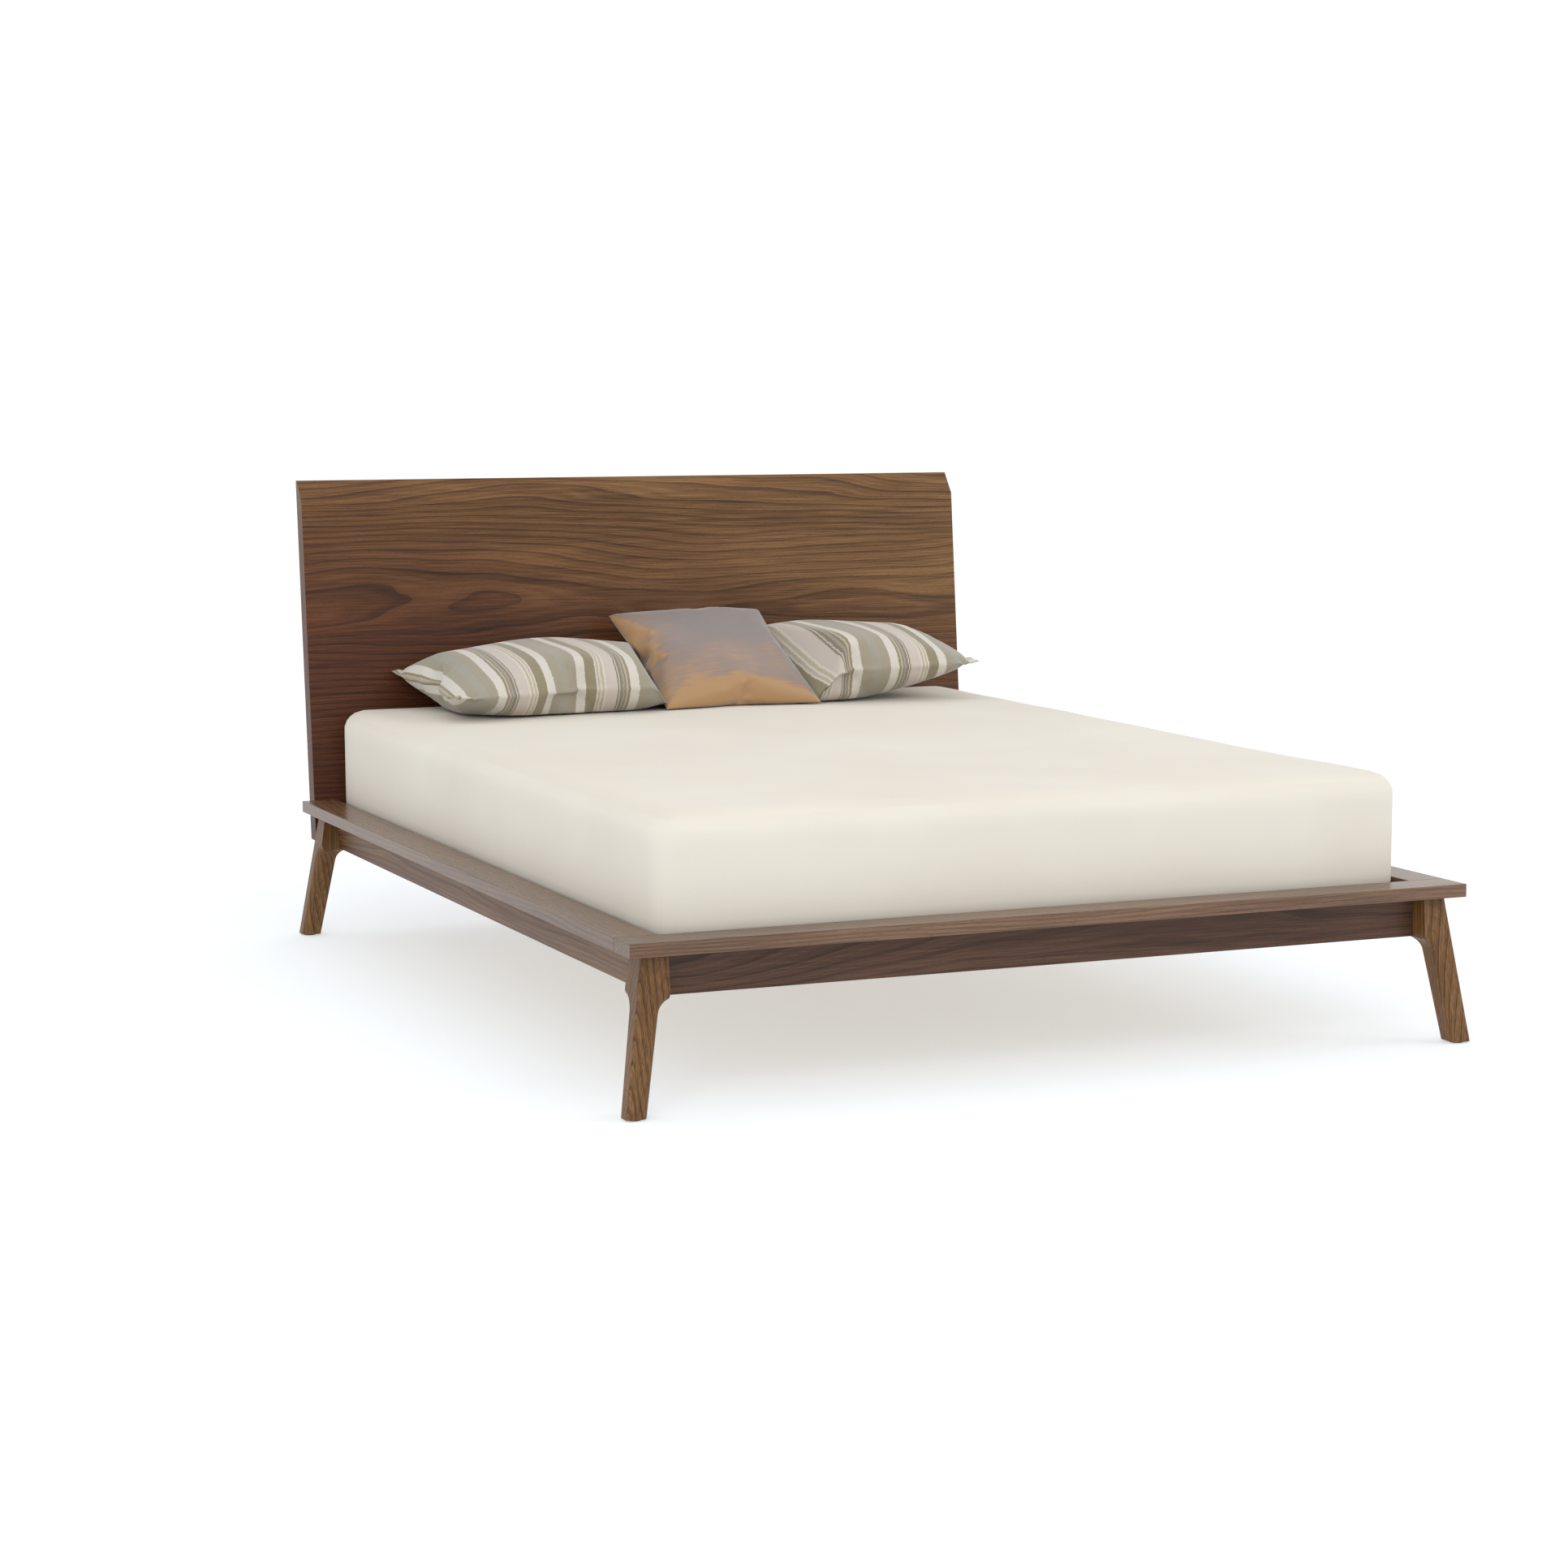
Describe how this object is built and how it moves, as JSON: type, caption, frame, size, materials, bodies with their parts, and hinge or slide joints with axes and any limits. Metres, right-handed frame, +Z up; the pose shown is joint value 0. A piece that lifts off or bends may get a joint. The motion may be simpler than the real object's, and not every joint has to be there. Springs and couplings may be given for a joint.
{
  "type": "platform bed",
  "caption": "Walnut platform bed with a leaning panel headboard, a wide ledge around the mattress, splayed tapered legs, a slatted base, two pillows and a cushion.",
  "frame": {"origin": "on the floor, under the middle of the bed's outline", "axes": "+Y from the foot to the headboard, +Z up, +X to the right as seen from the foot"},
  "size_m": [1.712, 2.199, 1.02],
  "materials": {
    "walnut": "satin-oiled walnut with long straight grain",
    "slat_wood": "plain planed softwood",
    "zinc_steel": "zinc-plated steel",
    "glide_nylon": "dark brown moulded nylon",
    "sheet_cloth": "plain cream cotton sheet",
    "pillow_cloth": "woven cotton with taupe, beige and white stripes",
    "cushion_cloth": "shot silk, grey-mauve with a copper sheen"
  },
  "bodies": {
    "frame": {"centre_beam": "slat_wood", "centre_leg_glides": "glide_nylon", "cleat_screws": "zinc_steel", "foot_beam_hanger": "zinc_steel", "foot_centre_leg": "slat_wood", "foot_ledge": "walnut", "foot_left_corner_plate": "zinc_steel", "foot_left_leg": "walnut", "foot_rail": "walnut", "foot_right_corner_plate": "zinc_steel", "foot_right_leg": "walnut", "head_beam_hanger": "zinc_steel", "head_centre_leg": "slat_wood", "head_left_corner_plate": "zinc_steel", "head_left_leg": "walnut", "head_rail": "walnut", "head_right_corner_plate": "zinc_steel", "head_right_leg": "walnut", "headboard_bolts": "zinc_steel", "headboard_panel": "walnut", "left_headboard_block": "walnut", "left_ledge": "walnut", "left_side_rail": "walnut", "left_slat_cleat": "slat_wood", "leg_bolts": "zinc_steel", "leg_glides": "glide_nylon", "leg_nuts": "zinc_steel", "plate_screws": "zinc_steel", "right_headboard_block": "walnut", "right_ledge": "walnut", "right_side_rail": "walnut", "right_slat_cleat": "slat_wood", "slat_01": "slat_wood", "slat_02": "slat_wood", "slat_03": "slat_wood", "slat_04": "slat_wood", "slat_05": "slat_wood", "slat_06": "slat_wood", "slat_07": "slat_wood", "slat_08": "slat_wood", "slat_09": "slat_wood", "slat_10": "slat_wood", "slat_11": "slat_wood", "slat_12": "slat_wood", "slat_13": "slat_wood", "slat_14": "slat_wood", "slat_screws": "zinc_steel"},
    "mattress": {"mattress": "sheet_cloth"},
    "left_pillow": {"left_pillow": "pillow_cloth"},
    "right_pillow": {"right_pillow": "pillow_cloth"},
    "throw_cushion": {"throw_cushion": "cushion_cloth"}
  },
  "joints": [
    {"name": "mattress_lift", "type": "slide", "parent": "frame", "child": "mattress", "axis": [0, 0, 1], "range_m": [0, 0.25]},
    {"name": "left_pillow_slide", "type": "slide", "parent": "mattress", "child": "left_pillow", "axis": [-1, 0, 0], "range_m": [0, 0.2]},
    {"name": "right_pillow_slide", "type": "slide", "parent": "mattress", "child": "right_pillow", "axis": [1, 0, 0], "range_m": [0, 0.2]},
    {"name": "cushion_lift", "type": "slide", "parent": "mattress", "child": "throw_cushion", "axis": [0, -0.515, 0.8572], "range_m": [0, 0.2]}
  ]
}
